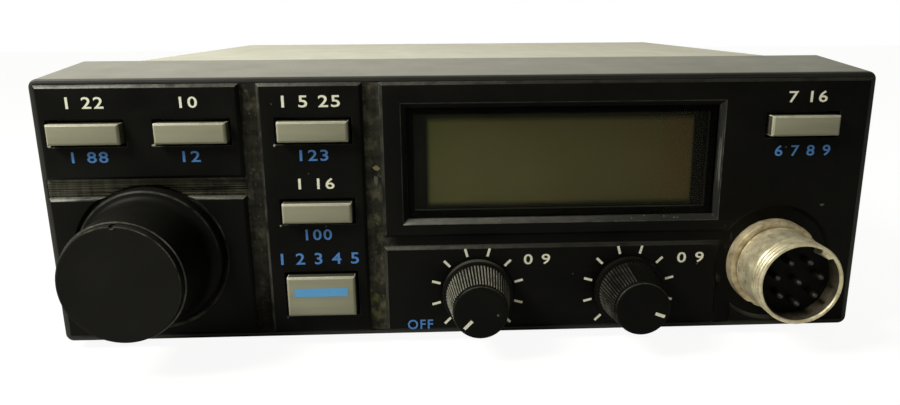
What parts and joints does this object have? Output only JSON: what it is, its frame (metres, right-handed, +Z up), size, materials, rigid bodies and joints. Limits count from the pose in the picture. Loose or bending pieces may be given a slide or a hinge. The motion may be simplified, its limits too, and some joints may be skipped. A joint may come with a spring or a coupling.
{
  "type": "marine vhf radio",
  "caption": "Compact fixed-mount marine radio with a black moulded front, display, keys, channel dial, two small knobs and a round microphone socket.",
  "frame": {"origin": "middle of the case's underside", "axes": "+X to the right seen from the front, +Y from the front to the back, +Z up"},
  "size_m": [0.1666, 0.1701, 0.0567],
  "materials": {
    "bezel_moulding": "satin moulded plastic, dusty",
    "panel_moulding": "satin moulded plastic, worn in the grooves",
    "key_plastic": "satin warm grey keys",
    "knob_plastic": "fine matt black",
    "clear_window": "clear acrylic",
    "display_glass": "unlit olive liquid crystal",
    "black_plastic": "black moulded plastic",
    "light_guide": "milky acrylic",
    "lamp_glass": "small lamp",
    "contact_rubber": "conductive rubber",
    "black_rubber": "sealing rubber",
    "circuit_board": "green solder resist",
    "component_body": "dark component case",
    "capacitor_sleeve": "shrunk plastic sleeve",
    "plated_steel": "zinc plated",
    "tinned_steel": "tinned sheet",
    "nickel": "worn nickel plate",
    "contact_metal": "plated brass",
    "brass_insert": "turned brass",
    "cast_aluminium": "bare casting",
    "cover_paint": "grey baked enamel",
    "sink_paint": "black baked enamel",
    "shaft_steel": "turned steel",
    "speaker_steel": "pressed steel",
    "speaker_paper": "pressed paper cone",
    "ferrite": "ferrite magnet",
    "insulator": "white insulator",
    "ribbon": "grey ribbon cable"
  },
  "bodies": {
    "housing": {"front_bezel": "bezel_moulding", "front_panel": "panel_moulding", "bezel_gasket": "black_rubber", "bezel_screws": "plated_steel", "display_window": "clear_window", "lcd_holder": "black_plastic", "lcd_glass": "display_glass", "lcd_contact_strips": "contact_rubber", "backlight_guide": "light_guide", "backlight_lamps": "lamp_glass", "front_board": "circuit_board", "key_switches": "component_body", "channel_encoder": "tinned_steel", "volume_pot": "tinned_steel", "squelch_pot": "tinned_steel", "shaft_nuts": "plated_steel", "mic_socket_shell": "nickel", "mic_socket_ring": "nickel", "mic_socket_insert": "black_plastic", "mic_socket_pins": "contact_metal", "chassis": "cast_aluminium", "top_cover": "cover_paint", "bottom_cover": "cover_paint", "cover_screws": "plated_steel", "main_board": "circuit_board", "board_screws": "plated_steel", "power_module": "component_body", "shield_cans": "tinned_steel", "capacitors": "capacitor_sleeve", "ribbon_cable": "ribbon", "heat_sink": "sink_paint", "rear_screws": "plated_steel", "antenna_socket": "nickel", "antenna_insulator": "insulator", "antenna_contact": "contact_metal", "speaker_frame": "speaker_steel", "speaker_cone": "speaker_paper", "speaker_magnet": "ferrite", "power_grommet": "black_rubber", "speaker_jack": "component_body", "bracket_inserts": "brass_insert"},
    "dial_key": {"dial_key": "key_plastic", "dial_plunger": "insulator"},
    "memory_key": {"memory_key": "key_plastic", "memory_plunger": "insulator"},
    "power_key": {"power_key": "key_plastic", "power_plunger": "insulator"},
    "watch_key": {"watch_key": "key_plastic", "watch_plunger": "insulator"},
    "function_key": {"function_key": "key_plastic", "function_plunger": "insulator"},
    "call_key": {"call_key": "key_plastic", "call_plunger": "insulator"},
    "channel_knob": {"channel_knob": "knob_plastic", "channel_knob_cap": "knob_plastic", "channel_shaft": "shaft_steel"},
    "volume_knob": {"volume_knob": "knob_plastic", "volume_shaft": "shaft_steel"},
    "squelch_knob": {"squelch_knob": "knob_plastic", "squelch_shaft": "shaft_steel"}
  },
  "joints": [
    {"name": "dial_key_press", "type": "slide", "parent": "housing", "child": "dial_key", "axis": [0, 1, 0], "range_m": [0, 0.0008], "stiffness_N_per_m": 900},
    {"name": "memory_key_press", "type": "slide", "parent": "housing", "child": "memory_key", "axis": [0, 1, 0], "range_m": [0, 0.0008], "stiffness_N_per_m": 900},
    {"name": "power_key_press", "type": "slide", "parent": "housing", "child": "power_key", "axis": [0, 1, 0], "range_m": [0, 0.0008], "stiffness_N_per_m": 900},
    {"name": "watch_key_press", "type": "slide", "parent": "housing", "child": "watch_key", "axis": [0, 1, 0], "range_m": [0, 0.0008], "stiffness_N_per_m": 900},
    {"name": "function_key_press", "type": "slide", "parent": "housing", "child": "function_key", "axis": [0, 1, 0], "range_m": [0, 0.0008], "stiffness_N_per_m": 900},
    {"name": "call_key_press", "type": "slide", "parent": "housing", "child": "call_key", "axis": [0, 1, 0], "range_m": [0, 0.0008], "stiffness_N_per_m": 900},
    {"name": "channel_turn", "type": "hinge", "parent": "housing", "child": "channel_knob", "pos_m": [-0.0617, -0.066, 0.01985], "axis": [0, 1, 0], "continuous": true},
    {"name": "volume_turn", "type": "hinge", "parent": "housing", "child": "volume_knob", "pos_m": [0.0028, -0.066, 0.01115], "axis": [0, 1, 0], "range_deg": [0, 270]},
    {"name": "squelch_turn", "type": "hinge", "parent": "housing", "child": "squelch_knob", "pos_m": [0.0339, -0.066, 0.01115], "axis": [0, 1, 0], "range_deg": [-245, 25]}
  ]
}
